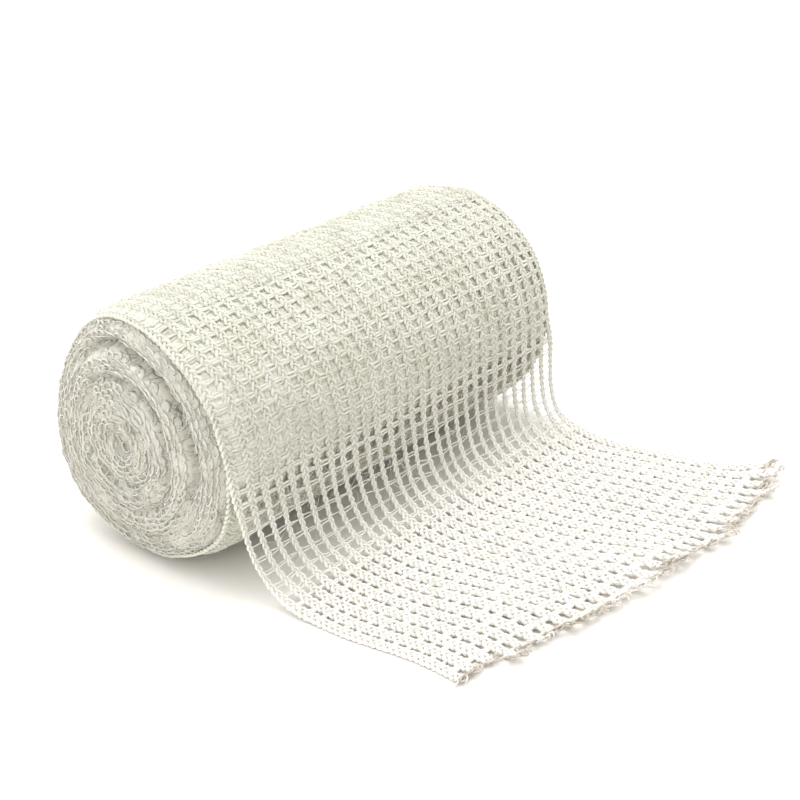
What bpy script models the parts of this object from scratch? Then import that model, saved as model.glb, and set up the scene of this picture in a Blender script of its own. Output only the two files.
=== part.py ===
"""Gauze bandage roll: one strip of warp-knitted gauze, wound up, with its end pulled loose.

Metres, +Z up. The origin is on the table, below the roll's axis and at the middle of its width.
The roll's axis runs along Y. Its pushed-out end faces -Y, and its loose end lies towards +X.

A place round the roll is given by its turn: 0 at the joint line, where the outermost turn passes
from the roll to the loose end, growing in the direction in which the strip comes off the roll.
"""
import math

import bmesh
import bpy
from mathutils import Vector, noise

MM = 0.001

# the strip
STRIP_WIDTH = 75.0 * MM
CHAINS = 29
CHAIN_HEIGHT = 0.45 * MM
SHEET_THICKNESS = 1.45 * MM
CLEARANCE = 0.38 * MM
TURN_THICKNESS = SHEET_THICKNESS + CLEARANCE

# the wound roll
ROLL_RADIUS = 20.5 * MM
ROLL_STEPS = 48
COLUMN_ANGLE = 2.0 * math.pi / ROLL_STEPS
JOINT_ANGLE = math.radians(75.0)
JOINT_WIDTH = math.radians(1.0)
BOTTOM_TURN = JOINT_ANGLE + math.pi / 2.0
BOTTOM_COLUMN = round(BOTTOM_TURN / COLUMN_ANGLE)
FOOT_COLUMNS = (BOTTOM_COLUMN - 1, BOTTOM_COLUMN, BOTTOM_COLUMN + 1)
ROLL_UNEVENNESS = 0.15 * MM
BULGE_SIZE = 15.0 * MM
STEP_FADE_START = 0.975
RIM_SHARE = 0.965
STEP_FADE_POWER = 8

# main turns that show on the two ends
END_TURN_PITCH = 4.4 * MM
END_TURN_HEIGHT = 0.55 * MM
END_TURN_FULL_SHARE = 0.20
END_TURN_FADE_SHARE = 0.65
END_TURN_LAST_SHARE = 0.85
CREVICE_DEPTH = 0.9 * MM
CREVICE_SHARE = 0.77
CREVICE_REACH = 0.05
CREVICE_ANGLE = math.radians(25.0)

# the middle of the near end sits a little high, and the outer turns there draw back on one side:
# angle of the place, half-width of the place (degrees), and shift of the strip's edge (mm)
CORE_RISE = 0.7 * MM
CORE_RISE_SHARE = 0.75
EDGE_SHIFTS = (
    (140.0, 45.0, 2.2),
    (222.0, 32.0, -0.8),
)
EDGE_SHIFT_REACH = 9.0 * MM

# share of the radius, and how far the cloth stands out past the strip's edge (mm), centre first
NEAR_END = (
    (0.000, 1.4),
    (0.045, 1.9),
    (0.100, 3.1),
    (0.165, 3.4),
    (0.230, 3.4),
    (0.295, 3.3),
    (0.360, 3.3),
    (0.425, 3.2),
    (0.490, 3.1),
    (0.555, 3.0),
    (0.620, 2.8),
    (0.685, 2.6),
    (0.735, 2.1),
    (0.775, 1.3),
    (0.820, 1.7),
    (0.890, 1.5),
    (0.955, 0.8),
)
FAR_END = (
    (0.000, -3.6),
    (0.080, -2.8),
    (0.160, -2.4),
    (0.240, -2.2),
    (0.320, -2.0),
    (0.400, -1.8),
    (0.480, -1.5),
    (0.560, -1.2),
    (0.640, -0.8),
    (0.720, -0.3),
    (0.800, 0.4),
    (0.880, 0.8),
    (0.950, 0.6),
)

# loose end, still on the roll: angle above the roll's axis, and how far the sheet has lifted off
# the roll at its near and far edges (mm)
LIFTING_ROWS = (
    (73.9, 0.0, 0.0),
    (67.5, 0.0, 0.0),
    (60.0, 0.0, 0.0),
    (52.5, 0.0, 0.1),
    (45.0, 0.0, 0.3),
    (37.5, 0.0, 0.6),
    (30.0, 0.0, 0.8),
    (22.5, 0.0, 0.7),
    (15.0, 0.1, 0.5),
    (7.5, 0.1, 0.4),
    (0.0, 0.2, 0.3),
)
# loose end, clear of the roll (mm): x and z of the upper face at the near edge, the same at the
# far edge, y of the two edges, and the row's share of the bow of the cut edge
FREE_ROWS = (
    (21.1, 15.0, 21.0, 15.0, -37.4, 37.6, 0.00),
    (21.6, 11.2, 21.1, 11.0, -37.0, 37.6, 0.00),
    (22.4, 7.6, 21.6, 7.4, -36.4, 37.4, 0.00),
    (23.6, 4.6, 22.8, 4.5, -35.7, 37.1, 0.00),
    (25.4, 2.7, 24.9, 2.6, -35.1, 36.7, 0.00),
    (28.2, 1.7, 28.1, 1.7, -34.8, 36.4, 0.00),
    (32.4, 1.45, 32.8, 1.45, -34.4, 36.4, 0.00),
    (37.2, 1.45, 38.4, 1.45, -33.8, 37.3, 0.10),
    (42.2, 1.45, 44.4, 1.45, -32.9, 38.7, 0.25),
    (47.2, 1.45, 50.6, 1.45, -31.9, 40.6, 0.45),
    (52.2, 1.45, 56.6, 1.45, -31.5, 43.3, 0.72),
    (57.0, 1.45, 62.2, 1.45, -32.0, 47.0, 1.00),
)
CUT_BOW = 4.8 * MM
CUT_BOW_SKEW = 1.4
CUT_ROUGHNESS = 1.1 * MM
CUT_WANDER = 0.37
CUT_SEED = 4.2
HANGING_HEIGHT = 8.0 * MM

# lifts of the stretch on the table: x, y, radius and height (mm)
LIFTS = (
    (61.5, 8.0, 8.0, 1.5),
    (61.0, 48.0, 6.0, 1.6),
    (46.0, 27.0, 9.0, 0.7),
    (50.0, -16.0, 8.0, 0.6),
    (63.0, 28.0, 5.0, 0.7),
)

GAUZE_COLOUR = (0.84, 0.83, 0.77, 1.0)
LOOSE_GAUZE_COLOUR = (0.88, 0.87, 0.82, 1.0)
GAUZE_ROUGHNESS = 0.95
SHARP_ANGLE = math.radians(40.0)

ACROSS_STEPS = 2 * (CHAINS - 1)
MERGE_DISTANCE = 1e-6


def clear_scene():
    for old in list(bpy.data.objects):
        bpy.data.objects.remove(old, do_unlink=True)


def make_material(name, colour):
    material = bpy.data.materials.new(name)
    material.use_nodes = True
    shader = material.node_tree.nodes["Principled BSDF"]
    shader.inputs["Base Color"].default_value = colour
    shader.inputs["Roughness"].default_value = GAUZE_ROUGHNESS
    shader.inputs["Metallic"].default_value = 0.0
    return material


def add_object(name, bm, material, collection):
    bmesh.ops.recalc_face_normals(bm, faces=bm.faces)
    mesh = bpy.data.meshes.new(name)
    bm.to_mesh(mesh)
    bm.free()
    mesh.materials.append(material)
    mesh.shade_smooth()
    mesh.set_sharp_from_angle(angle=SHARP_ANGLE)
    obj = bpy.data.objects.new(name, mesh)
    collection.objects.link(obj)
    return obj


def chain_relief(across_step):
    """Chains are ridges on the even steps across the strip, with valleys between them."""
    return 0.0 if across_step % 2 == 0 else -CHAIN_HEIGHT


def unevenness(turn, y):
    """Soft bulges of the wound cloth, the same for the roll and for the sheet lying on it."""
    place = Vector((ROLL_RADIUS * math.cos(turn), ROLL_RADIUS * math.sin(turn), y))
    return ROLL_UNEVENNESS * noise.noise(place / BULGE_SIZE)


def surface_radius(turn, y):
    """Radius of the roll's surface, one turn's thickness smaller where the loose end has left it."""
    grown = turn / (2.0 * math.pi)
    return ROLL_RADIUS - TURN_THICKNESS * (1.0 - grown) + unevenness(turn, y)


AXIS_HEIGHT = surface_radius(BOTTOM_TURN, 0.0) * math.cos(COLUMN_ANGLE)


def end_relief(share, turn):
    """The main turns on an end: a spiral ridge, fading out at the centre and at the shoulder."""
    phase = share * ROLL_RADIUS / END_TURN_PITCH - turn / (2.0 * math.pi)
    fade_in = min(1.0, share / END_TURN_FULL_SHARE)
    left = (END_TURN_LAST_SHARE - share) / (END_TURN_LAST_SHARE - END_TURN_FADE_SHARE)
    fade_out = min(1.0, max(0.0, left))
    return END_TURN_HEIGHT * fade_in * fade_out * math.cos(2.0 * math.pi * phase)


def crevice(share, angle):
    """The gap round the pushed-out middle, deepest at one side of the near end."""
    nearness = math.exp(-(((share - CREVICE_SHARE) / CREVICE_REACH) ** 2))
    side = 0.5 + 0.5 * math.cos(angle - CREVICE_ANGLE)
    return -CREVICE_DEPTH * nearness * side


def edge_shift(angle, y):
    """How far the cloth has moved along the roll at an angle round it, fading past the near edge."""
    shift = 0.0
    for centre_deg, reach_deg, size in EDGE_SHIFTS:
        away = (math.degrees(angle) - centre_deg + 180.0) % 360.0 - 180.0
        shift += size * MM * math.exp(-((away / reach_deg) ** 2))
    along = max(0.0, y + STRIP_WIDTH / 2.0)
    return shift * math.exp(-along / EDGE_SHIFT_REACH)


def roll_profile():
    """Half section of the roll, from the middle of the near end to the middle of the far end."""
    half = STRIP_WIDTH / 2.0
    points = []
    for share, stand_out in NEAR_END:
        points.append((share * ROLL_RADIUS, -half - stand_out * MM))
    for step in range(ACROSS_STEPS + 1):
        y = -half + STRIP_WIDTH * step / ACROSS_STEPS
        points.append((ROLL_RADIUS + chain_relief(step), y))
    for share, stand_out in reversed(FAR_END):
        points.append((share * ROLL_RADIUS, half + stand_out * MM))
    return points


def wound_point(point):
    """Moves a point of the turned shape to its place on the wound roll."""
    radius = math.hypot(point.x, point.z)
    angle = math.atan2(point.z, point.x)
    turn = (JOINT_ANGLE - angle) % (2.0 * math.pi)
    column = round(turn / COLUMN_ANGLE) % ROLL_STEPS
    turn = COLUMN_ANGLE * column
    if column == ROLL_STEPS - 1:
        turn = 2.0 * math.pi - JOINT_WIDTH  # stands the step of the outermost turn upright
    angle = JOINT_ANGLE - turn
    share = radius / ROLL_RADIUS
    shrink = ROLL_RADIUS - surface_radius(turn, point.y)
    radius -= shrink * min(1.0, share / STEP_FADE_START) ** STEP_FADE_POWER
    y = point.y
    past_near_edge = y < -STRIP_WIDTH / 2.0 - MERGE_DISTANCE
    past_far_edge = not past_near_edge and share < RIM_SHARE
    y += edge_shift(angle, y) * share**2
    rise = 0.0
    if past_near_edge:
        y -= end_relief(share, turn) + crevice(share, angle)
        rise = CORE_RISE * min(1.0, max(0.0, (1.0 - share) / (1.0 - CORE_RISE_SHARE)))
    elif past_far_edge:
        y += end_relief(share, turn)
    height = max(AXIS_HEIGHT + rise + radius * math.sin(angle), 0.0)
    if column in FOOT_COLUMNS and not past_near_edge and not past_far_edge:
        height = 0.0
    return Vector((radius * math.cos(angle), y, height))


def build_wound_roll(collection):
    """The half section is spun round the axis, and then wound: stepped, ribbed and flattened below."""
    bm = bmesh.new()
    start = Vector((math.cos(JOINT_ANGLE), 0.0, math.sin(JOINT_ANGLE)))
    verts = [
        bm.verts.new(start * radius + Vector((0.0, y, 0.0))) for radius, y in roll_profile()
    ]
    edges = [bm.edges.new(pair) for pair in zip(verts, verts[1:])]
    bmesh.ops.spin(
        bm,
        geom=verts + edges,
        cent=(0.0, 0.0, 0.0),
        axis=(0.0, 1.0, 0.0),
        angle=2.0 * math.pi,
        steps=ROLL_STEPS,
        use_merge=True,
    )
    bmesh.ops.remove_doubles(bm, verts=bm.verts, dist=MERGE_DISTANCE)
    for vert in bm.verts:
        vert.co = wound_point(vert.co)
    material = make_material("wound gauze", GAUZE_COLOUR)
    return add_object("wound_roll", bm, material, collection)


def lifting_point(row, across, relief):
    """Upper face of the loose end where it still lies against the roll."""
    angle_deg, near_lift, far_lift = row
    angle = math.radians(angle_deg)
    y = STRIP_WIDTH * (across - 0.5)
    lift = (near_lift + (far_lift - near_lift) * across) * MM
    radius = surface_radius(JOINT_ANGLE - angle, y) + TURN_THICKNESS + lift + relief
    y += edge_shift(angle, y)
    return Vector((radius * math.cos(angle), y, AXIS_HEIGHT + radius * math.sin(angle)))


def free_point(row, across, relief):
    """Upper face of the loose end where it hangs and where it lies on the table."""
    near_x, near_z, far_x, far_z, near_y, far_y, cut_share = row
    x = (near_x + (far_x - near_x) * across) * MM
    y = (near_y + (far_y - near_y) * across) * MM
    z = (near_z + (far_z - near_z) * across) * MM
    x += CUT_BOW * cut_share * math.sin(math.pi * across**CUT_BOW_SKEW)
    lift = 0.0
    for lift_x, lift_y, reach, height in LIFTS:
        away = math.hypot(x - lift_x * MM, y - lift_y * MM) / (reach * MM)
        lift += height * MM * math.exp(-away * away)
    if z > HANGING_HEIGHT:
        return Vector((x + relief, y, z))
    return Vector((x, y, z + lift + relief))


def cut_edge_shift(across_step):
    """The cut runs unevenly across the chains, which stand out past the cloth between them."""
    wander = noise.noise(Vector((across_step * CUT_WANDER, CUT_SEED, 0.0)))
    chain_end = 0.5 if across_step % 2 == 0 else -0.5
    return CUT_ROUGHNESS * (wander + chain_end)


def build_loose_end(collection):
    """A grid bent along the path of the loose end, given its thickness, and flat on the table."""
    rows = [(lifting_point, row) for row in LIFTING_ROWS]
    rows += [(free_point, row) for row in FREE_ROWS]
    bm = bmesh.new()
    bmesh.ops.create_grid(bm, x_segments=ACROSS_STEPS, y_segments=len(rows) - 1, size=0.5)
    for vert in bm.verts:
        step = round((vert.co.x + 0.5) * ACROSS_STEPS)
        along = round((vert.co.y + 0.5) * (len(rows) - 1))
        place, row = rows[along]
        vert.co = place(row, step / ACROSS_STEPS, chain_relief(step))
        if along == len(rows) - 1:
            vert.co.x += cut_edge_shift(step)
    bmesh.ops.recalc_face_normals(bm, faces=bm.faces)
    bm.normal_update()
    lowest = min(bm.faces, key=lambda face: face.calc_center_median().z)
    if lowest.normal.z < 0.0:
        bmesh.ops.reverse_faces(bm, faces=bm.faces)
    bmesh.ops.solidify(bm, geom=bm.faces, thickness=SHEET_THICKNESS)
    for vert in bm.verts:
        vert.co.z = max(vert.co.z, 0.0)
    material = make_material("loose gauze", LOOSE_GAUZE_COLOUR)
    return add_object("loose_end", bm, material, collection)


def main():
    clear_scene()
    collection = bpy.data.collections.new("gauze bandage roll")
    bpy.context.scene.collection.children.link(collection)
    build_wound_roll(collection)
    build_loose_end(collection)


main()
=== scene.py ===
import math
import random

import bmesh
import bpy
import numpy as np
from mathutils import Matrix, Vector, noise


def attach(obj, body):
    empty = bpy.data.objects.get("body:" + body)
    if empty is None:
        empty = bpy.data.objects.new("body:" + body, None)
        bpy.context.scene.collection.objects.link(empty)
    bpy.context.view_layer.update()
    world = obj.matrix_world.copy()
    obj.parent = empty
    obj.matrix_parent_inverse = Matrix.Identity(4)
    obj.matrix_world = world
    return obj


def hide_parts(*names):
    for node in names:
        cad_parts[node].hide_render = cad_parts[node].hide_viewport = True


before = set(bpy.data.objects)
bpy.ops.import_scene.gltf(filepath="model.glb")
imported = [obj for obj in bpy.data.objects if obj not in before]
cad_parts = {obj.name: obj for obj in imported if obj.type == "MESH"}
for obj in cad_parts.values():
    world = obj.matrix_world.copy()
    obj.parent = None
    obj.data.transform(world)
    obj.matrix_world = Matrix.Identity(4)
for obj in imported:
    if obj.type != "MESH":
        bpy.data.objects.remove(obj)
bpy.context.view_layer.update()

# ---- inner turns of the roll -----------------------------------------------------------------
# All of the strip but its outermost turn and its loose end: open knitted cotton gauze, wound on
# itself with no core. Its half section is spun round the roll's axis, then stepped down where the
# outermost turn has left it, rounded at the rims, flattened where it rests, creased on its ends.
MM = 0.001
STRIP_WIDTH = 75.0 * MM
CHAINS = 29
CHAIN_PITCH = STRIP_WIDTH / (CHAINS - 1)
ROLL_RADIUS = 20.5 * MM
COURSES_ROUND = 60
COURSE = 2.0 * math.pi * ROLL_RADIUS / COURSES_ROUND
TURN_THICKNESS = 1.83 * MM
NET_THICKNESS = 0.36 * MM
JOINT_ANGLE = math.radians(75.0)
BOTTOM_TURN = JOINT_ANGLE + math.pi / 2.0
FOOT_HALF_ANGLE = math.radians(7.5)
ROLL_UNEVENNESS = 0.15 * MM
BULGE_SIZE = 15.0 * MM
# angle round the roll and reach (degrees), and shift of the near edge (mm)
EDGE_SHIFTS = ((140.0, 45.0, 2.2), (222.0, 32.0, -0.8))
EDGE_SHIFT_REACH = 9.0 * MM
# how far the turn under the loose end springs up, and where that stops and fades (degrees)
SWELL = 1.53 * MM
SWELL_TO = 104.0
SWELL_FADED_AT = 140.0
CORE_RISE = 0.7 * MM
CORE_RISE_SHARE = 0.75
EDGE_ROUNDING = 1.0 * MM
EDGE_ROUNDING_REACH = 4.2 * MM
WOUND_COLOUR = (0.71, 0.70, 0.59, 1.0)
# painted light: the turns beneath are painted paler than the outer turn's yarn, to light the holes
# between its yarns as light scattered through the cloth would
INNER_PAINTED_LIGHT_COLOUR = (0.80, 0.79, 0.68, 1.0)
# painted shade: the yarn on the roll's two ends is given a darker colour than the side's, for the
# shade the ends lie in
EDGE_SHADED_COLOUR = (0.67, 0.65, 0.575, 1.0)

# share of the radius, and how far the cloth stands out past the strip's edge (mm), centre first
NEAR_END = (
    (0.0, 1.2), (0.045, 1.9), (0.1, 3.1), (0.165, 3.4), (0.23, 3.4), (0.295, 3.3), (0.36, 3.3),
    (0.425, 3.2), (0.49, 3.1), (0.555, 3.0), (0.62, 2.8), (0.685, 2.6), (0.735, 2.1),
    (0.775, 1.5), (0.82, 1.7), (0.89, 1.5), (0.955, 0.8), (1.0, 0.0),
)
FAR_END = (
    (0.0, -3.6), (0.08, -2.8), (0.16, -2.4), (0.24, -2.2), (0.32, -2.0), (0.4, -1.8),
    (0.48, -1.5), (0.56, -1.2), (0.64, -0.8), (0.72, -0.3), (0.8, 0.4), (0.88, 0.8),
    (0.95, 0.6), (1.0, 0.0),
)
# the crevice between the main turns of the near end, from outside to inside: angle (degrees,
# running on past a full turn), share of the radius, and depth (mm)
NEAR_CREVICE = (
    (-60, 0.63, 0.0), (-25, 0.65, 0.9), (5, 0.68, 1.5), (45, 0.69, 1.7), (76, 0.70, 1.5),
    (101, 0.74, 1.1), (123, 0.71, 0.7), (144, 0.66, 0.5), (200, 0.60, 0.25), (250, 0.56, 0.25),
    (285, 0.53, 0.6), (315, 0.50, 0.6), (360, 0.455, 1.0), (381, 0.46, 1.2), (403, 0.49, 1.2),
    (421, 0.50, 1.1), (450, 0.50, 0.8), (485, 0.50, 0.5), (508, 0.45, 0.4), (557, 0.40, 0.5),
    (588, 0.36, 0.9), (625, 0.34, 0.8), (660, 0.30, 0.4), (720, 0.25, 0.4), (765, 0.22, 0.6),
    (810, 0.17, 0.6), (900, 0.10, 0.6), (1000, 0.05, 0.4),
)
CREVICE_WIDTH = 0.68 * MM
CREVICE_DEEPENING = 1.5
CREVICE_TURNS = 3
END_BULGE = 0.25 * MM
END_BULGE_SIZE = 2.6 * MM
# bulges and lumps on an end reach their full size at a share of the radius of one over this
CENTRE_FADE = 5.0
# power of the share of the radius: high, so that only the rim follows the stepped outer surface
RIM_POWER = 8
MIDDLE_OFFSET = 0.085
MIDDLE_SIDE = math.radians(35.0)
FAR_TURN_PITCH = 4.1 * MM
FAR_TURN_DEPTH = 0.6 * MM
FAR_CREASE_POWER = 4
# shares of the radius: where the creases have faded in, where they end, and how fast they fade out
FAR_CREASES_FROM = 0.15
FAR_CREASES_TO = 0.93
FAR_CREASES_FADE = 0.1


def soft_noise(places, size):
    """Smooth noise of about -1 to 1 at each place, with bulges of that size."""
    return np.array([noise.noise(Vector(place)) for place in (places / size).tolist()])


def surface_radius(turn, y):
    """Radius of the roll's surface, smaller where the loose end left it and at its round rims."""
    place = np.stack([ROLL_RADIUS * np.cos(turn), ROLL_RADIUS * np.sin(turn), y], 1)
    uneven = ROLL_UNEVENNESS * soft_noise(place, BULGE_SIZE)
    from_edge = (STRIP_WIDTH / 2.0 - np.abs(y)) / EDGE_ROUNDING_REACH
    uneven -= EDGE_ROUNDING * np.clip(1.0 - from_edge, 0.0, 1.0) ** 2
    return ROLL_RADIUS - TURN_THICKNESS * (1.0 - turn / (2.0 * math.pi)) + uneven


def edge_shift(angle, y):
    """How far the cloth has moved along the roll, by angle, fading away from the near edge."""
    shift = np.zeros(len(y))
    for centre_deg, reach_deg, size in EDGE_SHIFTS:
        away = (np.degrees(angle) - centre_deg + 180.0) % 360.0 - 180.0
        shift += size * MM * np.exp(-((away / reach_deg) ** 2))
    along = np.maximum(0.0, y + STRIP_WIDTH / 2.0)
    return shift * np.exp(-along / EDGE_SHIFT_REACH)


def swell(turn):
    """The turn under the loose end springs up into the room which that end leaves."""
    return SWELL * np.interp(np.degrees(turn), (SWELL_TO, SWELL_FADED_AT), (1.0, 0.0))


def near_stand_out(share, angle):
    """How far the near end stands out past the strip's edge at a share of the radius."""
    side = 0.5 + 0.5 * np.cos(angle - MIDDLE_SIDE)
    stand_out = np.interp(share / (1.0 - MIDDLE_OFFSET * side), *np.transpose(NEAR_END)) * MM
    degrees, shares, depths = np.transpose(NEAR_CREVICE)
    first = (np.degrees(angle) - degrees[0]) % 360.0 + degrees[0]
    for turn in range(CREVICE_TURNS):
        place = first + 360.0 * turn
        away = (share - np.interp(place, degrees, shares)) * ROLL_RADIUS / CREVICE_WIDTH
        depth = np.interp(place, degrees, depths, right=0.0) * CREVICE_DEEPENING * MM
        stand_out -= depth * np.exp(-away * away)
    return stand_out


def far_stand_out(share, angle):
    """The same for the far end, which is dished, with its main turns as a spiral of creases."""
    turn = (JOINT_ANGLE - angle) % (2.0 * math.pi)
    phase = share * ROLL_RADIUS / FAR_TURN_PITCH - turn / (2.0 * math.pi)
    crease = (0.5 + 0.5 * np.cos(2.0 * math.pi * phase)) ** FAR_CREASE_POWER
    fade = np.clip(share / FAR_CREASES_FROM, 0.0, 1.0)
    fade *= np.clip((FAR_CREASES_TO - share) / FAR_CREASES_FADE, 0.0, 1.0)
    return np.interp(share, *np.transpose(FAR_END)) * MM - FAR_TURN_DEPTH * crease * fade


AXIS_HEIGHT = float(
    surface_radius(np.array([BOTTOM_TURN]), np.array([0.0]))[0] * math.cos(FOOT_HALF_ANGLE)
)


def roll_point(angle, radius, y, rise=0.0):
    """Places on the roll as rows of x, y and z, kept above the table."""
    x = radius * np.cos(angle)
    z = np.maximum(AXIS_HEIGHT + rise + radius * np.sin(angle), 0.0)
    return np.stack([x, y, z], 1)


def end_point(share, angle, out, near=True):
    """Places on an end of the roll, by share of the radius and by height off the end's surface."""
    turn = (JOINT_ANGLE - angle) % (2.0 * math.pi)
    half = STRIP_WIDTH / 2.0
    edge = np.full(len(share), -half if near else half)
    radius = share * ROLL_RADIUS
    places = np.stack([radius * np.cos(angle), edge, radius * np.sin(angle)], 1)
    bulge = END_BULGE * soft_noise(places, END_BULGE_SIZE) * np.minimum(1.0, CENTRE_FADE * share)
    out = out + bulge
    drop = ROLL_RADIUS - surface_radius(turn, edge) - swell(turn)
    radius -= drop * np.minimum(1.0, share) ** RIM_POWER
    if near:
        rise = CORE_RISE * np.clip((1.0 - share) / (1.0 - CORE_RISE_SHARE), 0.0, 1.0)
        y = edge + edge_shift(angle, edge) * share**2 - near_stand_out(share, angle) - out
        return roll_point(angle, radius, y, rise)
    return roll_point(angle, radius, edge + far_stand_out(share, angle) + out)


def read_places(mesh):
    places = np.empty(len(mesh.vertices) * 3)
    mesh.vertices.foreach_get("co", places)
    return places.reshape(-1, 3)


def move_places(mesh, places):
    mesh.vertices.foreach_set("co", np.ascontiguousarray(places, np.float64).ravel())
    mesh.update()


def keep_flat_places(mesh, places):
    """Stores where each point lies in the cloth laid flat, for the patterns that follow it."""
    flat = mesh.attributes.new("flat", "FLOAT_VECTOR", "POINT")
    flat.data.foreach_set("vector", np.ascontiguousarray(places, np.float32).ravel())


# distances along the strip from where it leaves the roll, over which its colour turns from painted
# shade by the roll to painted light on the table
PAINTED_LIGHT_FROM = 22.0 * MM
PAINTED_LIGHT_TO = 42.0 * MM
# the cotton's darker patches as shares of its colour, its paler patches, and its palest
DARK_PATCHES = (0.90, 0.895, 0.86)
PALE_PATCHES = 1.04
PALEST = 0.93


def cotton(name, colour, sheen, fibre_bump, painted_lit_colour=None):
    """Bleached cotton yarn: dull, faintly fuzzy, a little uneven, and, given a second colour,
    painted paler along the strip as painted light.
    """
    material = bpy.data.materials.new(name)
    material.use_nodes = True
    nodes, links = material.node_tree.nodes, material.node_tree.links
    shader = nodes["Principled BSDF"]
    shader.inputs["Roughness"].default_value = 0.92
    shader.inputs["Specular IOR Level"].default_value = 0.25
    shader.inputs["Sheen Weight"].default_value = sheen
    shader.inputs["Sheen Roughness"].default_value = 0.6
    shader.inputs["Subsurface Weight"].default_value = 0.5
    shader.inputs["Subsurface Radius"].default_value = (1.0, 0.95, 0.85)
    shader.inputs["Subsurface Scale"].default_value = 1.0 * MM
    flat = nodes.new("ShaderNodeAttribute")
    flat.attribute_name = "flat"

    patches = nodes.new("ShaderNodeTexNoise")
    patches.inputs["Scale"].default_value = 140.0
    patches.inputs["Detail"].default_value = 3.0
    links.new(flat.outputs["Vector"], patches.inputs["Vector"])
    tint = nodes.new("ShaderNodeValToRGB")
    tint.color_ramp.elements[0].position = 0.3
    tint.color_ramp.elements[0].color = [c * f for c, f in zip(colour, DARK_PATCHES)] + [1.0]
    tint.color_ramp.elements[1].position = 0.65
    tint.color_ramp.elements[1].color = [min(c * PALE_PATCHES, PALEST) for c in colour[:3]] + [1.0]
    links.new(patches.outputs["Fac"], tint.inputs["Fac"])
    fibres = nodes.new("ShaderNodeTexNoise")
    fibres.inputs["Scale"].default_value = 5200.0
    fibres.inputs["Detail"].default_value = 4.0
    fibres.inputs["Roughness"].default_value = 0.65
    links.new(flat.outputs["Vector"], fibres.inputs["Vector"])
    shade = nodes.new("ShaderNodeMix")
    shade.data_type = "RGBA"
    shade.blend_type = "MULTIPLY"
    shade.inputs["Factor"].default_value = 0.22
    links.new(tint.outputs["Color"], shade.inputs["A"])
    links.new(fibres.outputs["Fac"], shade.inputs["B"])
    # painted light: the colour turns paler along the strip, out of the painted shade by the roll
    if painted_lit_colour:
        split = nodes.new("ShaderNodeSeparateXYZ")
        links.new(flat.outputs["Vector"], split.inputs["Vector"])
        along = nodes.new("ShaderNodeMapRange")
        along.inputs["From Min"].default_value = PAINTED_LIGHT_FROM
        along.inputs["From Max"].default_value = PAINTED_LIGHT_TO
        links.new(split.outputs["X"], along.inputs["Value"])
        paler = nodes.new("ShaderNodeMix")
        paler.data_type = "RGBA"
        paler.inputs["B"].default_value = painted_lit_colour
        links.new(along.outputs["Result"], paler.inputs["Factor"])
        links.new(tint.outputs["Color"], paler.inputs["A"])
        links.new(paler.outputs["Result"], shade.inputs["A"])
    links.new(shade.outputs["Result"], shader.inputs["Base Color"])

    bump = nodes.new("ShaderNodeBump")
    bump.inputs["Strength"].default_value = fibre_bump
    bump.inputs["Distance"].default_value = 0.12 * MM
    links.new(fibres.outputs["Fac"], bump.inputs["Height"])
    links.new(bump.outputs["Normal"], shader.inputs["Normal"])
    return material


def add_piece(name, mesh, material):
    """Adds a finished mesh to the scene, riding on the part."""
    mesh.materials.clear()
    mesh.materials.append(material)
    mesh.shade_smooth()
    piece = bpy.data.objects.new(name, mesh)
    bpy.context.scene.collection.objects.link(piece)
    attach(piece, "root")
    return piece


INNER_COLUMNS = 216
END_RINGS = 66
STEPS_PER_PITCH = 6
RIM_DROP = 0.45 * MM
LAYER_RELIEF = 0.18 * MM
LAYER_OFFSET = 0.45
# height of the ribs across the strip, and of the lumps, as shares of the chains' height
COURSE_RELIEF = 0.7
LUMP_RELIEF = 0.5
LUMP_SIZE = 2.2 * MM
END_LUMP = 0.14 * MM
END_LUMP_SIZE = 0.9 * MM
END_DROP = 0.06 * MM
# the ends are kept this far off the side while the section is spun, to tell them from it
END_GAP = 1.0
SEAM_TURN = 2.0 * math.pi - 0.001
SIDE_STEPS = STEPS_PER_PITCH * (CHAINS - 1)

core_mesh = bpy.data.meshes.new("inner_turns")
bm = bmesh.new()
half = STRIP_WIDTH / 2.0
rings = np.linspace(0.0, 1.0, END_RINGS)
profile = [(share, -half - END_GAP) for share in rings]
profile += [(1.0, -half + STRIP_WIDTH * step / SIDE_STEPS) for step in range(1, SIDE_STEPS)]
profile += [(share, half + END_GAP) for share in rings[::-1]]
start = Vector((math.cos(JOINT_ANGLE), 0.0, math.sin(JOINT_ANGLE)))
line = [bm.verts.new(start * share + Vector((0.0, y, 0.0))) for share, y in profile]
edges = [bm.edges.new(pair) for pair in zip(line, line[1:])]
bmesh.ops.spin(
    bm, geom=line + edges, cent=(0.0, 0.0, 0.0), axis=(0.0, 1.0, 0.0),
    angle=2.0 * math.pi, steps=INNER_COLUMNS, use_merge=True,
)
bmesh.ops.remove_doubles(bm, verts=bm.verts, dist=1e-6)
bm.to_mesh(core_mesh)
bm.free()

turned = read_places(core_mesh)
share = np.hypot(turned[:, 0], turned[:, 2])
angle = np.arctan2(turned[:, 2], turned[:, 0])
turn = (JOINT_ANGLE - angle) % (2.0 * math.pi)
turn[turn > SEAM_TURN] = 0.0
on_near = turned[:, 1] < -half - 0.5 * END_GAP
on_far = turned[:, 1] > half + 0.5 * END_GAP
on_side = ~(on_near | on_far)
flat_places = np.stack([-turn * ROLL_RADIUS, turned[:, 1] + half, turned[:, 1] * 0.0], 1)
flat_places[~on_side] = turned[~on_side] * ROLL_RADIUS
wound = np.empty_like(turned)

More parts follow.
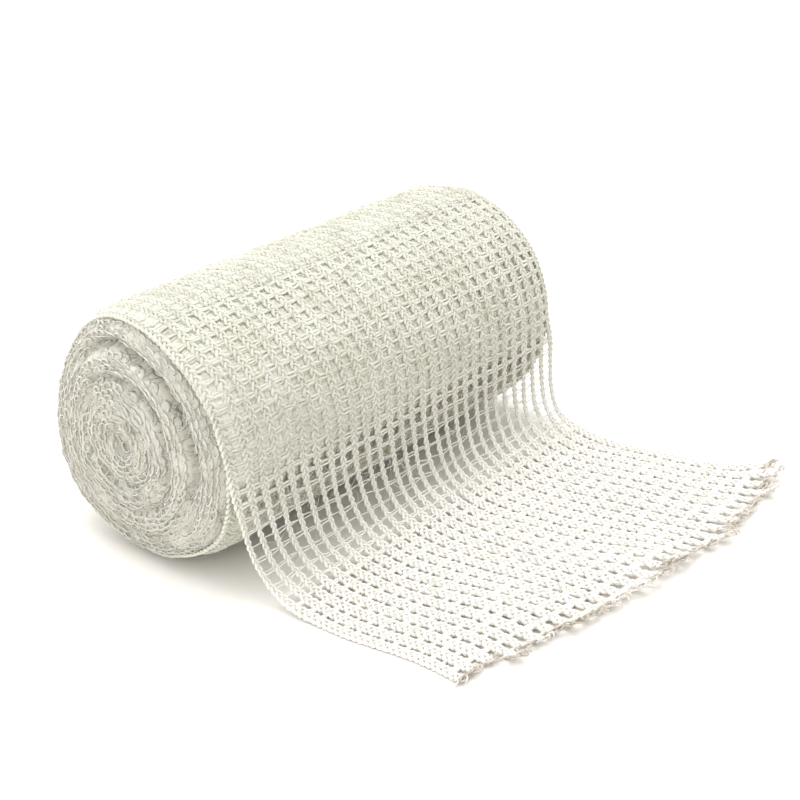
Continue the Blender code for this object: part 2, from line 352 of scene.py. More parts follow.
y = turned[on_side, 1]
chain = 0.5 + 0.5 * np.cos(2.0 * math.pi * ((y + half) / CHAIN_PITCH + LAYER_OFFSET))
course = 0.5 + 0.5 * np.cos(2.0 * math.pi * turn[on_side] * ROLL_RADIUS / COURSE)
lumps = soft_noise(flat_places[on_side], LUMP_SIZE)
relief = LAYER_RELIEF * (np.maximum(chain, COURSE_RELIEF * course) - 1.0 + LUMP_RELIEF * lumps)
radius = surface_radius(turn[on_side], y) + swell(turn[on_side]) - NET_THICKNESS + relief
wound[on_side] = roll_point(angle[on_side], radius, y + edge_shift(angle[on_side], y))
for on_end, near in ((on_near, True), (on_far, False)):
    places = flat_places[on_end]
    lumps = END_LUMP * soft_noise(places, END_LUMP_SIZE) - END_DROP
    lumps *= np.minimum(1.0, share[on_end] * CENTRE_FADE)
    within = share[on_end] * (1.0 - RIM_DROP / ROLL_RADIUS)
    wound[on_end] = end_point(within, angle[on_end], lumps, near)
move_places(core_mesh, wound)
keep_flat_places(core_mesh, flat_places)
bm = bmesh.new()
bm.from_mesh(core_mesh)
bmesh.ops.recalc_face_normals(bm, faces=bm.faces)
bm.to_mesh(core_mesh)
bm.free()

# the yarns of the turns beneath, lying close together both ways, as relief and as painted shade in
# the grooves between them
LONG_YARN_PITCH = 0.75 * MM
CROSS_YARN_PITCH = 0.6 * MM
WAVE_LENGTH_AT_SCALE_1 = math.pi / 10.0
inner_cotton = cotton("inner_gauze", INNER_PAINTED_LIGHT_COLOUR, 0.15, 0.6)
nodes, links = inner_cotton.node_tree.nodes, inner_cotton.node_tree.links
yarns = []
for direction, pitch in (("Y", LONG_YARN_PITCH), ("X", CROSS_YARN_PITCH)):
    wave = nodes.new("ShaderNodeTexWave")
    wave.bands_direction = direction
    wave.inputs["Scale"].default_value = WAVE_LENGTH_AT_SCALE_1 / pitch
    wave.inputs["Distortion"].default_value = 5.0
    wave.inputs["Detail"].default_value = 2.0
    wave.inputs["Detail Scale"].default_value = 1.3
    links.new(nodes["Attribute"].outputs["Vector"], wave.inputs["Vector"])
    yarns.append(wave.outputs["Fac"])
upper = nodes.new("ShaderNodeMath")
upper.operation = "MAXIMUM"
links.new(yarns[0], upper.inputs[0])
links.new(yarns[1], upper.inputs[1])
relief = nodes.new("ShaderNodeBump")
relief.inputs["Strength"].default_value = 0.8
relief.inputs["Distance"].default_value = 0.22 * MM
links.new(upper.outputs["Value"], relief.inputs["Height"])
links.new(nodes["Bump"].outputs["Normal"], relief.inputs["Normal"])
links.new(relief.outputs["Normal"], nodes["Principled BSDF"].inputs["Normal"])
# painted shade: the colour is darkened in the grooves between the yarns
groove_shade = nodes.new("ShaderNodeMix")
groove_shade.data_type = "RGBA"
groove_shade.blend_type = "MULTIPLY"
groove_shade.inputs["Factor"].default_value = 0.14
links.new(nodes["Mix"].outputs["Result"], groove_shade.inputs["A"])
links.new(upper.outputs["Value"], groove_shade.inputs["B"])
links.new(groove_shade.outputs["Result"], nodes["Principled BSDF"].inputs["Base Color"])
inner_turns = add_piece("inner_turns", core_mesh, inner_cotton)
# the ends of the inner turns, their edge loops and their fibres take this darker colour as painted
# shade
edge_shaded_cotton = cotton("edge_gauze_yarn", EDGE_SHADED_COLOUR, 0.2, 0.8)
core_mesh.materials.append(edge_shaded_cotton)
for face in core_mesh.polygons:
    face.material_index = int(not all(on_side[list(face.vertices)]))
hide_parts("wound_roll")

# ---- outermost turn on the roll --------------------------------------------------------------
# The last full turn of the strip: 29 chains of looped cotton yarn, with the cross yarns laid
# between them at each course. It is knitted flat from round yarns, and then wound on.
CHAIN_YARN = 0.46 * MM
CROSS_YARN = 0.40 * MM
STRANDS = 3
PLAIT_COURSES = 1.5
PLAIT_POINTS = 7
# turns of the plait by which each chain is ahead of the chain before it
PLAIT_SHIFT = 0.37
PLAIT_HEIGHT = 0.13 * MM
CHAIN_DEPTH = 0.40 * MM
CROSS_DEPTH = 0.39 * MM
CROSS_SPREAD = 0.40 * MM
CROSS_POINTS = 4
CROSS_PLACE = 0.25
CROSS_MISSING = 0.05
CROSS_LEAN = 0.25 * MM
CROSS_PARTING = 0.3 * MM
CROSS_JITTER = 0.1 * MM
CROSS_SAG = 0.12 * MM
CROSS_DIP = 0.06 * MM
CROSS_STEP = 0.05 * MM
CROSS_UNEVENNESS = 0.2
YARN_SIDES = 5
YARN_UNEVENNESS = 0.22
YARN_BULGE = 1.6 * MM
WELD = 1e-7
WANDER_ACROSS = 0.36 * MM
WANDER_ACROSS_SIZE = 5.0 * MM
WANDER_ALONG = 0.45 * MM
WANDER_ALONG_SIZE = 6.0 * MM
WANDER_STRETCH = 1.6
TIP_SHARE = 0.45
# courses by which the chains run on under the joint, and the first chain of the far piece
TUCKED_COURSES = 0.4
FIRST_FAR_CHAIN = 14
# distance from the joint (mm), half-width of the plaited loops there (mm), and the thickness of
# their yarn and of the cross yarns as a share of the usual one: the net is thinnest where it
# hangs, fluffiest on the table, and draws into tufts at the cut
NET_STATES = (
    (-140.0, 0.57, 1.15, 1.2), (29.5, 0.57, 1.15, 1.2), (34.0, 0.32, 0.95, 0.45),
    (42.0, 0.32, 0.95, 0.4), (49.0, 0.86, 1.35, 1.3),
    (74.5, 0.86, 1.4, 1.4), (77.5, 0.58, 1.3, 1.3),
)


def net_state(distance):
    """Half-width of a chain, and the shares of yarn thickness, at a distance from the joint."""
    distances, widths, chain_shares, cross_shares = np.transpose(NET_STATES)
    place = np.asarray(distance) / MM
    return (
        np.interp(place, distances, widths) * MM,
        np.interp(place, distances, chain_shares),
        np.interp(place, distances, cross_shares),
    )


def chain_paths(number, first_course, last_course):
    """One chain: the legs of its loops run from side to side, over and under each other."""
    steps = int(round((last_course - first_course) / PLAIT_COURSES * PLAIT_POINTS))
    t = np.linspace(first_course, last_course, steps + 1)
    wide, share, _ = net_state(COURSE * t)
    for strand in range(STRANDS):
        swing = 2.0 * math.pi * (t / PLAIT_COURSES + strand / STRANDS + PLAIT_SHIFT * number)
        across = number * CHAIN_PITCH + wide * np.sin(swing)
        up = -CHAIN_DEPTH + PLAIT_HEIGHT * np.sin(2.0 * swing)
        path = np.stack([COURSE * t, across, up], 1)
        thickness = share * (1.0 + YARN_UNEVENNESS * soft_noise(path + 0.1 * strand, YARN_BULGE))
        yield path, 0.5 * CHAIN_YARN * thickness


def cross_paths(gap, course, chance):
    """Cross yarns lying side by side from one chain to the next, each a little askew."""
    for side in (-0.5, 0.5):
        if chance.random() < CROSS_MISSING:
            continue
        lean = chance.uniform(-CROSS_LEAN, CROSS_LEAN) - side * CROSS_PARTING
        place = COURSE * (course + CROSS_PLACE) + side * CROSS_SPREAD
        place += chance.uniform(-CROSS_JITTER, CROSS_JITTER)
        sag = chance.uniform(-CROSS_SAG, CROSS_SAG)
        t = np.linspace(0.0, 1.0, CROSS_POINTS)
        across = (gap + t) * CHAIN_PITCH
        along = place + lean * (t - 0.5) + sag * np.sin(math.pi * t)
        up = side * CROSS_STEP - CROSS_DEPTH - CROSS_DIP * np.sin(math.pi * t)
        uneven = 1.0 + chance.uniform(-CROSS_UNEVENNESS, CROSS_UNEVENNESS)
        yield np.stack([along, across, up], 1), 0.5 * CROSS_YARN * net_state(along)[2] * uneven


def round_yarns(name, paths, sides=YARN_SIDES):
    """A mesh of yarns along the paths, each given with its half-thickness."""
    section = bpy.data.curves.new("yarn_section", "CURVE")
    section.dimensions = "2D"
    section.fill_mode = "NONE"
    rim = section.splines.new("POLY")
    rim.points.add(sides - 1)
    for point, side in zip(rim.points, range(sides)):
        turned_by = 2.0 * math.pi * side / sides
        point.co = (math.cos(turned_by), math.sin(turned_by), 0.0, 1.0)
    rim.use_cyclic_u = True
    section_shape = bpy.data.objects.new("yarn_section", section)
    curve = bpy.data.curves.new(name, "CURVE")
    curve.dimensions = "3D"
    curve.bevel_mode = "OBJECT"
    curve.bevel_object = section_shape
    curve.use_fill_caps = True
    for path, thickness in paths:
        spline = curve.splines.new("POLY")
        spline.points.add(len(path) - 1)
        spline.points.foreach_set("co", np.column_stack([path, np.ones(len(path))]).ravel())
        spline.points.foreach_set("radius", np.asarray(thickness, float))
    shape = bpy.data.objects.new(name, curve)
    bpy.context.scene.collection.objects.link(section_shape)
    bpy.context.scene.collection.objects.link(shape)
    view = bpy.context.evaluated_depsgraph_get()
    mesh = bpy.data.meshes.new_from_object(shape.evaluated_get(view))
    for old_shape, old_curve in ((shape, curve), (section_shape, section)):
        bpy.data.objects.remove(old_shape)
        bpy.data.curves.remove(old_curve)
    mesh.name = name
    bm = bmesh.new()
    bm.from_mesh(mesh)
    bmesh.ops.remove_doubles(bm, verts=bm.verts, dist=WELD)
    bmesh.ops.recalc_face_normals(bm, faces=bm.faces)
    bm.to_mesh(mesh)
    bm.free()
    return mesh


def wander(flat):
    """Shifts the flat net's points a little, so that no row or chain runs quite straight."""
    moved = flat.copy()
    stretched = np.stack([flat[:, 0] / WANDER_STRETCH, flat[:, 1], np.zeros(len(flat))], 1)
    moved[:, 1] += WANDER_ACROSS * soft_noise(stretched + 0.31, WANDER_ACROSS_SIZE)
    moved[:, 0] += WANDER_ALONG * soft_noise(stretched + 0.77, WANDER_ALONG_SIZE)
    return moved


def wind_on(flat):
    """From places in the flat cloth, counted from the joint, to places round the roll."""
    moved = wander(flat)
    turn = 2.0 * math.pi + moved[:, 0] / ROLL_RADIUS
    angle = JOINT_ANGLE - turn
    y = moved[:, 1] - STRIP_WIDTH / 2.0
    radius = surface_radius(turn, y) + swell(turn) + flat[:, 2]
    return roll_point(angle, radius, y + edge_shift(angle, y))


def curled_yarn(along, across, up, heading, curl, rise, length, thickness, points=6):
    """A short tapering yarn that sets off at a heading, curls as it goes, and arches up."""
    t = np.linspace(0.0, 1.0, points)
    headings = heading + curl * t * (0.5 + 0.5 * t)
    step = length / (points - 1)
    alongs = along + step * (np.cumsum(np.cos(headings)) - math.cos(heading))
    acrosses = across + step * (np.cumsum(np.sin(headings)) - math.sin(heading))
    path = np.stack([alongs, acrosses, up + rise * np.sin(math.pi * t)], 1)
    return path, 0.5 * thickness * np.linspace(1.0, TIP_SHARE, points)


chance = random.Random(11)
wound_cotton = cotton("wound_gauze_yarn", WOUND_COLOUR, 0.3, 0.8)
for name, chains in (
    ("outer_turn_near", range(FIRST_FAR_CHAIN)),
    ("outer_turn_far", range(FIRST_FAR_CHAIN, CHAINS)),
):
    yarns = []
    for number in chains:
        yarns += chain_paths(number, -COURSES_ROUND - TUCKED_COURSES, 0.0)
        for course in range(-COURSES_ROUND, 0):
            if number < CHAINS - 1:
                yarns += cross_paths(number, course, chance)
    mesh = round_yarns(name, yarns)
    flat_places = read_places(mesh)
    keep_flat_places(mesh, flat_places)
    move_places(mesh, wind_on(flat_places))
    add_piece(name, mesh, wound_cotton)

# ---- stray fibres on the roll ----------------------------------------------------------------
# Fine cotton fibres that have worked out of the yarns and lie across the net, curled, most of
# them close to the surface and some standing up from it.
STRAY_FIBRE = 0.085 * MM
STRAY_CURL = 2.5
STRAY_LENGTHS = (1.5, 4.5)
# the square of a number in this range, times a height, is how far a stray fibre stands up: most
# of them lie low
STRAY_RISE = (0.1, 0.5)
ROLL_RISE = 3.0 * MM
ROLL_FIBRE_DEPTH = 0.12 * MM
FIBRE_SIDES = 3
FIBRES_ON_ROLL = 1700
chance = random.Random(41)
fibres = []
for _ in range(FIBRES_ON_ROLL):
    fibres.append(curled_yarn(
        -COURSE * COURSES_ROUND * chance.random(), STRIP_WIDTH * chance.random(),
        -ROLL_FIBRE_DEPTH, chance.uniform(0.0, 2.0 * math.pi),
        chance.uniform(-STRAY_CURL, STRAY_CURL), chance.uniform(*STRAY_RISE) ** 2 * ROLL_RISE,
        chance.uniform(*STRAY_LENGTHS) * MM, STRAY_FIBRE,
    ))
mesh = round_yarns("stray_fibres", fibres, FIBRE_SIDES)
flat_places = read_places(mesh)
keep_flat_places(mesh, flat_places)
move_places(mesh, wind_on(flat_places))
add_piece("stray_fibres", mesh, wound_cotton)

# ---- edges of the turns on the two ends ------------------------------------------------------
# The strip's looped edges, seen as a close spiral of fluffy loops on each end of the roll. A
# looped yarn is knitted straight, and then laid in a spiral on the end, standing out unevenly.
EDGE_YARN = 0.28 * MM
EDGE_LOOP_POINTS = 8
EDGE_START = 0.7 * MM
EDGE_LAST_SHARE = 0.975
EDGE_WANDER = 0.6 * MM
EDGE_WANDER_SIZE = 3.5 * MM
EDGE_WANDER_FROM = 5.0 * MM
EDGE_OUT = 0.04 * MM
EDGE_UNEVENNESS = 0.2
EDGE_YARN_BULGE = 2.0 * MM
# sizes of the loops as shares of their usual size, and how far each lifts off the end (mm)
LOOP_SIZES = (0.3, 1.35)
LOOP_LIFTS = (-0.2, 0.18)
# a loop's swing along the yarn, as a share of its length, and across it, as a share of the pitch
LOOP_ALONG = 0.40
LOOP_ACROSS = 0.36
LOOP_HEIGHT = 0.16 * MM
LOOP_TILT = 0.8
# name, near end or not, pitch of the turns, length of a loop, seed
ENDS = (
    ("near_edge_loops", True, 0.95 * MM, 1.5 * MM, 5),
    ("far_edge_loops", False, 1.25 * MM, 1.9 * MM, 6),
)
END_FIBRES = 1100
END_FIBRE = 0.13 * MM
END_FIBRE_SHARES = (0.5, 1.3)
END_FIBRE_DEPTHS = (-0.05, 0.15)
END_FIBRE_RISES = (0.0, 0.45)
END_FIBRE_LENGTHS = (1.2, 3.2)
END_FIBRE_CURL = 2.0
# spread of the fibres' headings about the way the turns run
END_FIBRE_SPREAD = 0.6
FIBRES_TO_SHARE = 0.95
OUTERMOST_SHARE = 0.99
for name, near, pitch, loop_length, seed in ENDS:
    chance = random.Random(seed)
    full_length = math.pi * ((EDGE_LAST_SHARE * ROLL_RADIUS) ** 2 - EDGE_START**2) / pitch
    loops = int(full_length / loop_length)
    t = np.linspace(0.0, loops, loops * EDGE_LOOP_POINTS + 1)
    ends = np.arange(loops + 1)
    size = np.interp(t, ends, [chance.uniform(*LOOP_SIZES) for _ in ends])
    lift = np.interp(t, ends, [chance.uniform(*LOOP_LIFTS) for _ in ends])
    along = loop_length * (t + LOOP_ALONG * size * np.sin(2.0 * math.pi * t))
    across = LOOP_ACROSS * pitch * size * np.cos(2.0 * math.pi * t)
    up = lift * MM + LOOP_HEIGHT * size * np.sin(2.0 * math.pi * t + LOOP_TILT)
    path = np.stack([along, across, up], 1)
    uneven = 1.0 + EDGE_UNEVENNESS * soft_noise(path + seed, EDGE_YARN_BULGE)
    thickness = 0.5 * EDGE_YARN * uneven
    mesh = round_yarns(name, [(path, thickness)])
    flat_places = read_places(mesh)
    keep_flat_places(mesh, flat_places)
    run = np.maximum(flat_places[:, 0], 0.0)
    reach = np.sqrt(EDGE_START**2 + pitch * run / math.pi)
    angle = JOINT_ANGLE - 2.0 * math.pi * (reach - EDGE_START) / pitch
    angle += (flat_places[:, 0] - run) / EDGE_START
    places = np.stack([reach * np.cos(angle), reach * np.sin(angle), reach * 0.0 + seed], 1)
    wandered = EDGE_WANDER * soft_noise(places, EDGE_WANDER_SIZE)
    reach += wandered * np.minimum(1.0, reach / EDGE_WANDER_FROM)
    share = np.clip((reach + flat_places[:, 1]) / ROLL_RADIUS, 0.0, 1.0)
    move_places(mesh, end_point(share, angle, flat_places[:, 2] + EDGE_OUT, near))
    add_piece(name, mesh, edge_shaded_cotton)

    fibres = []
    for _ in range(END_FIBRES if near else END_FIBRES // 2):
        reach = FIBRES_TO_SHARE * ROLL_RADIUS * math.sqrt(chance.random())
        angle = chance.uniform(0.0, 2.0 * math.pi)
        fibres.append(curled_yarn(
            reach * math.cos(angle), reach * math.sin(angle),
            chance.uniform(*END_FIBRE_DEPTHS) * MM,
            angle + math.pi / 2.0 + chance.gauss(0.0, END_FIBRE_SPREAD),
            chance.uniform(-END_FIBRE_CURL, END_FIBRE_CURL),
            chance.uniform(*END_FIBRE_RISES) * MM, chance.uniform(*END_FIBRE_LENGTHS) * MM,
            END_FIBRE * chance.uniform(*END_FIBRE_SHARES),
        ))
    mesh = round_yarns(name.replace("loops", "fibres"), fibres, FIBRE_SIDES)
    flat_places = read_places(mesh)
    keep_flat_places(mesh, flat_places)
    reach = np.hypot(flat_places[:, 0], flat_places[:, 1])
    angle = np.arctan2(flat_places[:, 1], flat_places[:, 0])
    share = np.minimum(reach / ROLL_RADIUS, OUTERMOST_SHARE)
    move_places(mesh, end_point(share, angle, flat_places[:, 2], near))
    add_piece(mesh.name, mesh, edge_shaded_cotton)

# ---- loose end of the strip ------------------------------------------------------------------
# The end pulled off the roll: it lies on the roll, hangs clear, and runs out over the table to
# its uneven cut. It is the same net, knitted flat and then laid along the path of its rows.
# the loose end's colours: painted shade where it lies on and hangs by the roll, painted light
# where it lies out on the table
HANGING_SHADED_COLOUR = (0.74, 0.73, 0.62, 1.0)
LOOSE_LIT_COLOUR = (0.88, 0.84, 0.76, 1.0)
# still on the roll: angle above its axis (degrees), and lift of the near and far edges (mm)
LIFTING_ROWS = (
    (75.0, 0.0, 0.0), (67.5, 0.0, 0.0), (60.0, 0.0, 0.0), (52.5, 0.0, 0.05), (45.0, 0.0, 0.15),
    (37.5, 0.0, 0.3), (30.0, 0.0, 0.4), (22.5, 0.0, 0.35), (15.0, 0.05, 0.3), (7.5, 0.1, 0.3),
    (0.0, 0.2, 0.3),
)
# clear of the roll (mm): x and z at the near edge, x and z at the far edge, y of the two edges,
# and the row's share of the bow of the cut
FREE_ROWS = (
    (21.1, 15.0, 21.0, 15.0, -37.4, 37.6, 0.0), (21.6, 11.2, 21.1, 11.0, -37.0, 37.6, 0.0),
    (22.4, 7.6, 21.6, 7.4, -36.4, 37.4, 0.0), (23.6, 4.6, 22.8, 4.5, -35.7, 37.1, 0.0),
    (25.4, 2.7, 24.9, 2.6, -35.1, 36.7, 0.0), (28.2, 1.7, 28.1, 1.7, -34.8, 36.4, 0.0),
    (32.4, 1.45, 32.8, 1.45, -34.4, 36.4, 0.0), (37.2, 1.45, 38.4, 1.45, -33.8, 37.3, 0.1),
    (42.2, 1.45, 44.4, 1.45, -32.9, 38.7, 0.25), (47.2, 1.45, 50.6, 1.45, -31.9, 40.6, 0.45),
    (52.2, 1.45, 56.6, 1.45, -31.5, 43.3, 0.72), (57.0, 1.45, 62.2, 1.45, -32.0, 47.0, 1.0),
)
CUT_BOW = 4.8 * MM
CUT_BOW_SKEW = 1.4
# lifts of the stretch on the table: x, y, radius and height (mm)
LIFTS = (
    (61.5, 8.0, 8.0, 1.5), (61.0, 48.0, 6.0, 1.6), (46.0, 27.0, 9.0, 0.7),
    (50.0, -16.0, 8.0, 0.6), (63.0, 28.0, 5.0, 0.7),
)
HANGING_HEIGHT = 8.0 * MM
LIFT_FADE = 2.0 * MM
PATH_STEP = 0.4 * MM
LIFTING_FADE = 6.0 * MM
# where along the strip the net comes down on the table, over what distance, and how far it sinks
TABLE_FROM = 46.0 * MM
TABLE_FADE = 8.0 * MM
TABLE_SINK = 0.6 * MM
CUT_CURL_REACH = 2.2 * MM
CUT_CURL = 0.9 * MM
CUT_CURL_MOST = 1.5
# the curl at the cut is a share of the full curl that wanders about a middle across the strip
CUT_CURL_MIDDLE = 0.65
CUT_CURL_WANDER = 0.35
CUT_CURL_SIZE = 0.07
# courses by which a chain stops short of the middle of the cut, or runs past it
CUT_COURSES = (-0.4, 0.8)
CORNER_SHORTENED = 0.8
CROSS_TO_CUT = 0.6

path_rows = []
for degrees, near_lift, far_lift in LIFTING_ROWS:
    row = []
    for lift in (near_lift, far_lift):
        radius = ROLL_RADIUS / MM + lift
        row.append(radius * math.cos(math.radians(degrees)))
        row.append(AXIS_HEIGHT / MM + radius * math.sin(math.radians(degrees)))
    path_rows.append(row + [-STRIP_WIDTH / MM / 2.0, STRIP_WIDTH / MM / 2.0, 0.0])
path_rows = np.array(path_rows + [list(row) for row in FREE_ROWS])
middles = 0.5 * (path_rows[:, 0:2] + path_rows[:, 2:4])
row_distance = np.concatenate([[0.0], np.cumsum(np.hypot(*np.diff(middles, axis=0).T))])
LOOSE_LENGTH = float(row_distance[-1]) * MM
LOOSE_COURSES = int(round(LOOSE_LENGTH / COURSE))
FREE_FROM = float(row_distance[len(LIFTING_ROWS)]) * MM


def row_at(distance):
    """The path's row at each distance from the joint, on a smooth curve through the rows."""
    place = np.interp(distance / MM, row_distance, np.arange(len(path_rows)))
    low = np.clip(place.astype(int), 0, len(path_rows) - 2)
    t = (place - low)[:, None]
    before, here = path_rows[np.maximum(low - 1, 0)], path_rows[low]
    after, beyond = path_rows[low + 1], path_rows[np.minimum(low + 2, len(path_rows) - 1)]
    return 0.5 * (
        2.0 * here + (after - before) * t
        + (2.0 * before - 5.0 * here + 4.0 * after - beyond) * t**2
        + (3.0 * here - before - 3.0 * after + beyond) * t**3
    )


def loose_face(distance, share):
    """Upper face of the loose end, by distance from the joint and by share of its width."""
    row = row_at(distance) * MM
    x = row[:, 0] + (row[:, 2] - row[:, 0]) * share
    z = row[:, 1] + (row[:, 3] - row[:, 1]) * share
    y = row[:, 4] + (row[:, 5] - row[:, 4]) * share
    x += CUT_BOW * (row[:, 6] / MM) * np.sin(math.pi * np.clip(share, 0.0, 1.0) ** CUT_BOW_SKEW)
    angle = np.maximum(JOINT_ANGLE - distance / ROLL_RADIUS, 0.0)
    return np.stack([x, y + edge_shift(angle, y), z], 1)


def lay_out(flat):
    """From places in the flat cloth to places along the loose end's path."""
    moved = wander(flat)
    distance = np.clip(moved[:, 0], 0.0, LOOSE_LENGTH - PATH_STEP)
    share = moved[:, 1] / STRIP_WIDTH
    tangent = loose_face(distance + PATH_STEP, share) - loose_face(distance - PATH_STEP, share)
    tangent /= np.hypot(tangent[:, 0], tangent[:, 2])[:, None]
    places = loose_face(distance, share) + tangent * (moved[:, 0] - distance)[:, None]
    on_roll = np.clip((FREE_FROM - distance) / LIFTING_FADE, 0.0, 1.0)
    turn = np.clip(distance / ROLL_RADIUS, 0.0, 2.0)
    uneven = surface_radius(turn, places[:, 1])
    uneven -= ROLL_RADIUS - TURN_THICKNESS * (1.0 - turn / (2.0 * math.pi))
    on_table = np.clip((distance - TABLE_FROM) / TABLE_FADE, 0.0, 1.0)
    past_curl = moved[:, 0] - LOOSE_LENGTH + CUT_CURL_REACH
    at_cut = np.clip(past_curl / CUT_CURL_REACH, 0.0, CUT_CURL_MOST)
    across = np.stack([share, share * 0.0, share * 0.0], 1)
    curl = CUT_CURL_MIDDLE + CUT_CURL_WANDER * soft_noise(across, CUT_CURL_SIZE)
    up = flat[:, 2] + uneven * on_roll - TABLE_SINK * on_table + CUT_CURL * curl * at_cut**2
    places[:, 0] -= tangent[:, 2] * up
    places[:, 2] += tangent[:, 0] * up
    lift = np.zeros(len(flat))
    for lift_x, lift_y, reach, height in LIFTS:
        away = np.hypot(places[:, 0] - lift_x * MM, places[:, 1] - lift_y * MM) / (reach * MM)
        lift += height * MM * np.exp(-away * away)
    lift *= np.clip((HANGING_HEIGHT - places[:, 2]) / LIFT_FADE, 0.0, 1.0)
    places[:, 2] = np.maximum(places[:, 2] + lift, 0.0)
    return places


chance = random.Random(23)
chain_yarns, cross_yarns = [], []
last_courses = [LOOSE_COURSES - chance.uniform(*CUT_COURSES) for _ in range(CHAINS)]
last_courses[-1] -= CORNER_SHORTENED
for number in range(CHAINS):
    chain_yarns += chain_paths(number, 0.0, last_courses[number])
    shorter = min(last_courses[number : number + 2])
    for course in range(LOOSE_COURSES):
        if number < CHAINS - 1 and course + CROSS_TO_CUT < shorter:
            cross_yarns += cross_paths(number, course, chance)
loose_cotton = cotton("loose_gauze_yarn", HANGING_SHADED_COLOUR, 0.3, 0.8, LOOSE_LIT_COLOUR)
for name, yarns in (("loose_chains", chain_yarns), ("loose_cross_yarns", cross_yarns)):
    mesh = round_yarns(name, yarns)
    flat_places = read_places(mesh)
    keep_flat_places(mesh, flat_places)
    move_places(mesh, lay_out(flat_places))
    add_piece(name, mesh, loose_cotton)

# ---- cut end of the strip --------------------------------------------------------------------
# Where the strip was cut off, the cut loops spring open: each chain ends in a tuft of short
# curled yarns, painted darker and browner in patches as painted shadow under the curled cut
# edge, and finer fibres stand out between them. The loose end's own stray fibres are here too.
# painted shadow: the cut tufts are given a darker, browner colour, with darker patches still, for
# the shade under the curled cut edge
CUT_SHADED_COLOUR = (0.74, 0.69, 0.62, 1.0)
CUT_SHADOW_COLOUR = (0.47, 0.41, 0.34, 1.0)
ENDS_A_CHAIN = 7
CUT_YARN = 0.42 * MM
CUT_YARN_POINTS = 7
CUT_YARN_LENGTHS = (1.2, 2.5)
CUT_YARN_RISES = (-0.1, 0.9)
CUT_YARN_CURLS = (1.0, 3.2)
CUT_YARN_ROOTS = (0.1, 0.7)
# width of a chain's tuft, and how its yarns' headings fan out and stray
TUFT_WIDTH = 1.9 * MM
TUFT_FAN = 1.2
TUFT_STRAY = 0.5
FIBRES_A_CHAIN = 8
CUT_FIBRE_LENGTHS = (1.2, 2.8)
CUT_FIBRE_RISES = (0.0, 0.5)
CUT_FIBRE_ROOTS = (0.0, 1.5)
CUT_FIBRE_FAN = 1.3
LOOSE_FIBRES = 600
LOOSE_FIBRE_DEPTH = 0.2 * MM
LOOSE_RISE = 2.5 * MM
LOOSE_FIBRES_TO = 0.97
chance = random.Random(31)
fray = []
for number, last_course in enumerate(last_courses):
    last = COURSE * last_course
    for strand in range(ENDS_A_CHAIN):
        side = strand / (ENDS_A_CHAIN - 1) - 0.5
        fray.append(curled_yarn(
            last - chance.uniform(*CUT_YARN_ROOTS) * MM, number * CHAIN_PITCH + TUFT_WIDTH * side,
            -CHAIN_DEPTH, TUFT_FAN * side + chance.uniform(-TUFT_STRAY, TUFT_STRAY),
            chance.choice((-1.0, 1.0)) * chance.uniform(*CUT_YARN_CURLS),
            chance.uniform(*CUT_YARN_RISES) * MM, chance.uniform(*CUT_YARN_LENGTHS) * MM,
            CUT_YARN, CUT_YARN_POINTS,
        ))
    for _ in range(FIBRES_A_CHAIN):
        fray.append(curled_yarn(
            last - chance.uniform(*CUT_FIBRE_ROOTS) * MM,
            (number + chance.uniform(-0.5, 0.5)) * CHAIN_PITCH,
            -CHAIN_DEPTH, chance.uniform(-CUT_FIBRE_FAN, CUT_FIBRE_FAN),
            chance.uniform(-STRAY_CURL, STRAY_CURL), chance.uniform(*CUT_FIBRE_RISES) * MM,
            chance.uniform(*CUT_FIBRE_LENGTHS) * MM, STRAY_FIBRE,
        ))
mesh = round_yarns("cut_yarn_ends", fray)
flat_places = read_places(mesh)
keep_flat_places(mesh, flat_places)
move_places(mesh, lay_out(flat_places))
cut_shaded_cotton = cotton("cut_gauze_yarn", CUT_SHADED_COLOUR, 0.2, 0.8)
cut_shadow_patches = cut_shaded_cotton.node_tree.nodes["Color Ramp"].color_ramp.elements
cut_shadow_patches[0].color = CUT_SHADOW_COLOUR
cut_shadow_patches[0].position = 0.42
cut_shadow_patches[1].position = 0.6
cut_yarn_ends = add_piece("cut_yarn_ends", mesh, cut_shaded_cotton)

fibres = []
for _ in range(LOOSE_FIBRES):
    fibres.append(curled_yarn(
        LOOSE_LENGTH * chance.uniform(0.0, LOOSE_FIBRES_TO), STRIP_WIDTH * chance.random(),
        -LOOSE_FIBRE_DEPTH, chance.uniform(0.0, 2.0 * math.pi),
        chance.uniform(-STRAY_CURL, STRAY_CURL), chance.uniform(*STRAY_RISE) ** 2 * LOOSE_RISE,
        chance.uniform(*STRAY_LENGTHS) * MM, STRAY_FIBRE,
    ))
mesh = round_yarns("loose_fibres", fibres, FIBRE_SIDES)
flat_places = read_places(mesh)
keep_flat_places(mesh, flat_places)
move_places(mesh, lay_out(flat_places))
loose_fibres = add_piece("loose_fibres", mesh, loose_cotton)
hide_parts("loose_end")

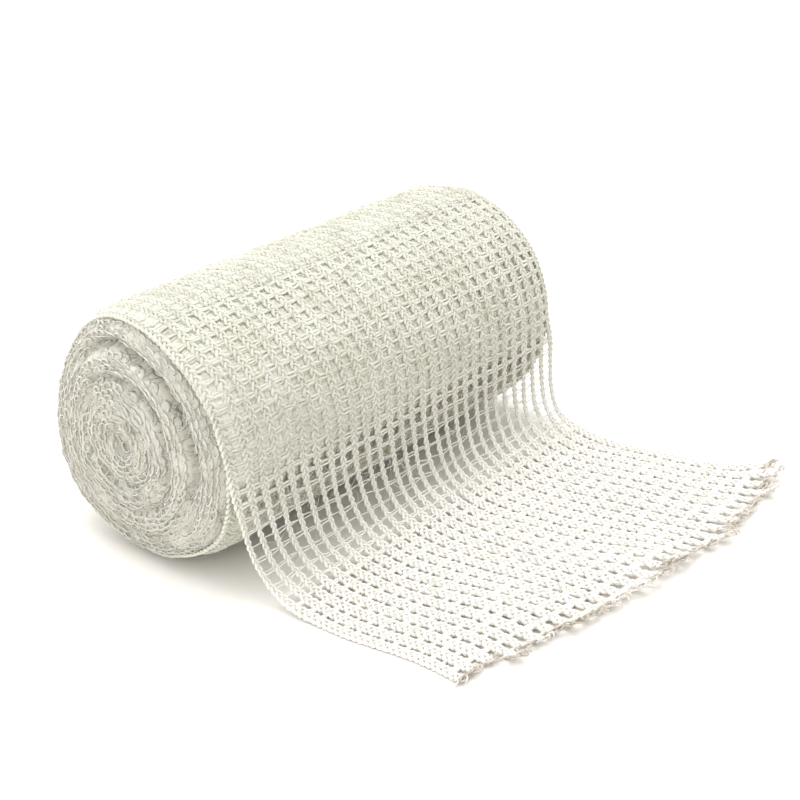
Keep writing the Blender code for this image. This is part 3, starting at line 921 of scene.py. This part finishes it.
# ---- table, light and camera -----------------------------------------------------------------
# A plain white table whose far edge sweeps up all round, under soft light from above and a weaker
# one from the front, as in a studio.
TABLE_RADIUS = 2.5
SWEEP_HEIGHT = 0.5
TABLE_SIDES = 96
TABLE_COLOUR = (0.90, 0.88, 0.85, 1.0)
bm = bmesh.new()
bmesh.ops.create_circle(bm, cap_ends=True, segments=TABLE_SIDES, radius=TABLE_RADIUS)
rim_edges = [edge for edge in bm.edges if edge.is_boundary]
swept = bmesh.ops.extrude_edge_only(bm, edges=rim_edges)
top = [part for part in swept["geom"] if isinstance(part, bmesh.types.BMVert)]
bmesh.ops.translate(bm, verts=top, vec=(0.0, 0.0, SWEEP_HEIGHT))
bmesh.ops.recalc_face_normals(bm, faces=bm.faces)
floor_mesh = bpy.data.meshes.new("table_top")
bm.to_mesh(floor_mesh)
bm.free()
table_top = bpy.data.objects.new("table_top", floor_mesh)
bpy.context.scene.collection.objects.link(table_top)
white = bpy.data.materials.new("white_table")
white.use_nodes = True
table_shader = white.node_tree.nodes["Principled BSDF"]
table_shader.inputs["Base Color"].default_value = TABLE_COLOUR
table_shader.inputs["Roughness"].default_value = 0.9
floor_mesh.materials.append(white)

# the surroundings: where they are brightest, how bright they are there and at their darkest, and
# how far round from the brightest place the darkest begins (as the cosine of the angle)
BRIGHTEST = Vector((-0.06, 0.05, 0.99)).normalized()
DARK_SIDE = 0.0
BRIGHT_SIDE = 1.75
DARK_FROM = -0.08
LIT_PLACE = (0.02, 0.0, 0.0)
world = bpy.data.worlds.new("studio")
world.use_nodes = True
nodes, links = world.node_tree.nodes, world.node_tree.links
direction = nodes.new("ShaderNodeTexCoord")
towards = nodes.new("ShaderNodeVectorMath")
towards.operation = "DOT_PRODUCT"
towards.inputs[1].default_value = BRIGHTEST
links.new(direction.outputs["Generated"], towards.inputs[0])
brightness = nodes.new("ShaderNodeMapRange")
brightness.interpolation_type = "SMOOTHSTEP"
brightness.inputs["From Min"].default_value = DARK_FROM
brightness.inputs["From Max"].default_value = 1.0
brightness.inputs["To Min"].default_value = DARK_SIDE
brightness.inputs["To Max"].default_value = BRIGHT_SIDE
links.new(towards.outputs["Value"], brightness.inputs["Value"])
links.new(brightness.outputs["Result"], nodes["Background"].inputs["Strength"])
nodes["Background"].inputs["Color"].default_value = (1.0, 1.0, 1.0, 1.0)
bpy.context.scene.world = world


def soft_light(name, place, size, power):
    """A round soft light that shines on the roll."""
    light = bpy.data.lights.new(name, "AREA")
    light.shape = "DISK"
    light.size = size
    light.energy = power
    lamp = bpy.data.objects.new(name, light)
    lamp.location = place
    lamp.rotation_euler = (Vector(LIT_PLACE) - Vector(place)).to_track_quat("-Z", "Y").to_euler()
    bpy.context.scene.collection.objects.link(lamp)


soft_light("main_light", (-0.05, 0.0, 0.82), 0.6, 3.2)
soft_light("front_light", (0.08, -0.72, 0.22), 0.5, 1.7)

camera_data = bpy.data.cameras.new("camera")
camera_data.lens = 67.48
camera_data.sensor_width = 36.0
camera_data.clip_start = 0.01
camera_data.clip_end = 20.0
camera = bpy.data.objects.new("camera", camera_data)
camera.location = (0.15411, -0.15991, 0.12409)
camera.rotation_euler = (math.radians(63.1), 0.0, math.radians(40.36))
bpy.context.scene.collection.objects.link(camera)
bpy.context.scene.camera = camera
bpy.context.scene.view_settings.view_transform = "Standard"
